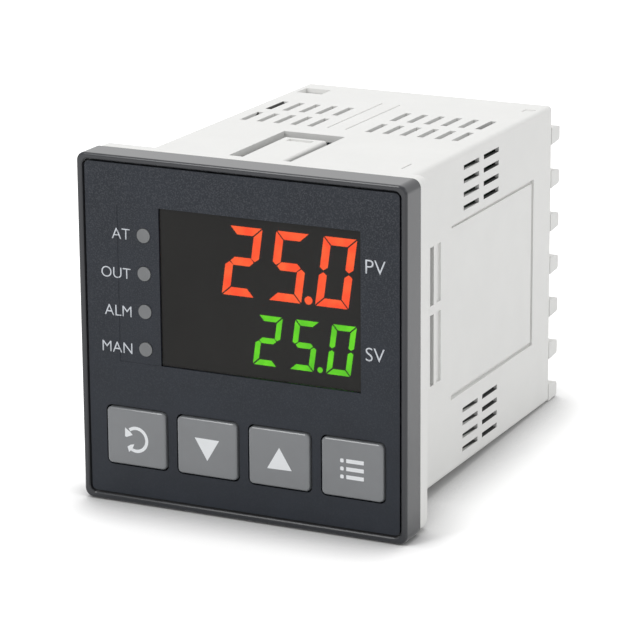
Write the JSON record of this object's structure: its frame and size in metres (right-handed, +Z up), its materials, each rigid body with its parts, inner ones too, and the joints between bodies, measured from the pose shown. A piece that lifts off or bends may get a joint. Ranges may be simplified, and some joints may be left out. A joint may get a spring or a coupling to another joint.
{
  "type": "temperature controller",
  "caption": "Panel-mounted PID temperature controller with a 72 x 72 mm front, two lit four-digit displays, four keys and twelve screw terminals",
  "frame": {"origin": "centre of the flange's rear face, the plane that lies on the switch-cabinet panel", "axes": "+X to the right seen from the front, +Y rearwards from the front panel to the terminals, +Z up"},
  "size_m": [0.072, 0.0954, 0.072],
  "materials": {
    "bezel_plastic": "fine moulded grain",
    "panel_plastic": "fine satin, printed legends",
    "window_plastic": "smoked clear, polished",
    "lamp": "surface-mounted lamp, unlit",
    "display_black": "matt filled block",
    "lit_red": "lit red",
    "lit_green": "lit green",
    "lens_plastic": "milky grey, unlit",
    "key_plastic": "smooth satin, printed sign",
    "plunger_plastic": "plain",
    "black_plastic": "moulded",
    "white_plastic": "moulded",
    "case_plastic": "fine moulded grain",
    "base_plastic": "fine moulded grain",
    "circuit_board": "green solder mask",
    "core_steel": "varnished laminations",
    "coil_tape": "yellow wound tape",
    "capacitor_sleeve": "shrunk sleeve",
    "relay_case": "moulded",
    "contact_brass": "tinned edge, plain",
    "plated_steel": "zinc plated"
  },
  "bodies": {
    "housing": {"front_bezel": "bezel_plastic", "front_panel": "panel_plastic", "display_window": "window_plastic", "status_lamps": "lamp", "pv_display": "display_black", "pv_segments": "lit_red", "sv_display": "display_black", "sv_segments": "lit_green", "rear_case": "case_plastic", "display_board": "circuit_board", "main_board": "circuit_board", "power_board": "circuit_board", "signal_header": "black_plastic", "power_header": "black_plastic", "transformer_core": "core_steel", "transformer_coil": "coil_tape", "mains_capacitor": "capacitor_sleeve", "output_capacitors": "capacitor_sleeve", "alarm_relay": "relay_case", "output_relay": "relay_case", "microcontroller": "black_plastic", "input_amplifier": "black_plastic", "signal_isolators": "white_plastic", "terminal_base": "base_plastic", "terminal_tabs": "contact_brass", "terminal_clamps": "plated_steel", "terminal_screws": "plated_steel", "autotune_lens": "lens_plastic", "output_lens": "lens_plastic", "alarm_lens": "lens_plastic", "manual_lens": "lens_plastic", "return_switch": "black_plastic", "down_switch": "black_plastic", "up_switch": "black_plastic", "menu_switch": "black_plastic"},
    "return_button": {"return_key": "key_plastic", "return_plunger": "plunger_plastic"},
    "down_button": {"down_key": "key_plastic", "down_plunger": "plunger_plastic"},
    "up_button": {"up_key": "key_plastic", "up_plunger": "plunger_plastic"},
    "menu_button": {"menu_key": "key_plastic", "menu_plunger": "plunger_plastic"}
  },
  "joints": [
    {"name": "return_press", "type": "slide", "parent": "housing", "child": "return_button", "axis": [0, 1, 0], "range_m": [0, 0.0004], "stiffness_N_per_m": 3000, "springref_m": -0.0002},
    {"name": "down_press", "type": "slide", "parent": "housing", "child": "down_button", "axis": [0, 1, 0], "range_m": [0, 0.0004], "stiffness_N_per_m": 3000, "springref_m": -0.0002},
    {"name": "up_press", "type": "slide", "parent": "housing", "child": "up_button", "axis": [0, 1, 0], "range_m": [0, 0.0004], "stiffness_N_per_m": 3000, "springref_m": -0.0002},
    {"name": "menu_press", "type": "slide", "parent": "housing", "child": "menu_button", "axis": [0, 1, 0], "range_m": [0, 0.0004], "stiffness_N_per_m": 3000, "springref_m": -0.0002}
  ]
}
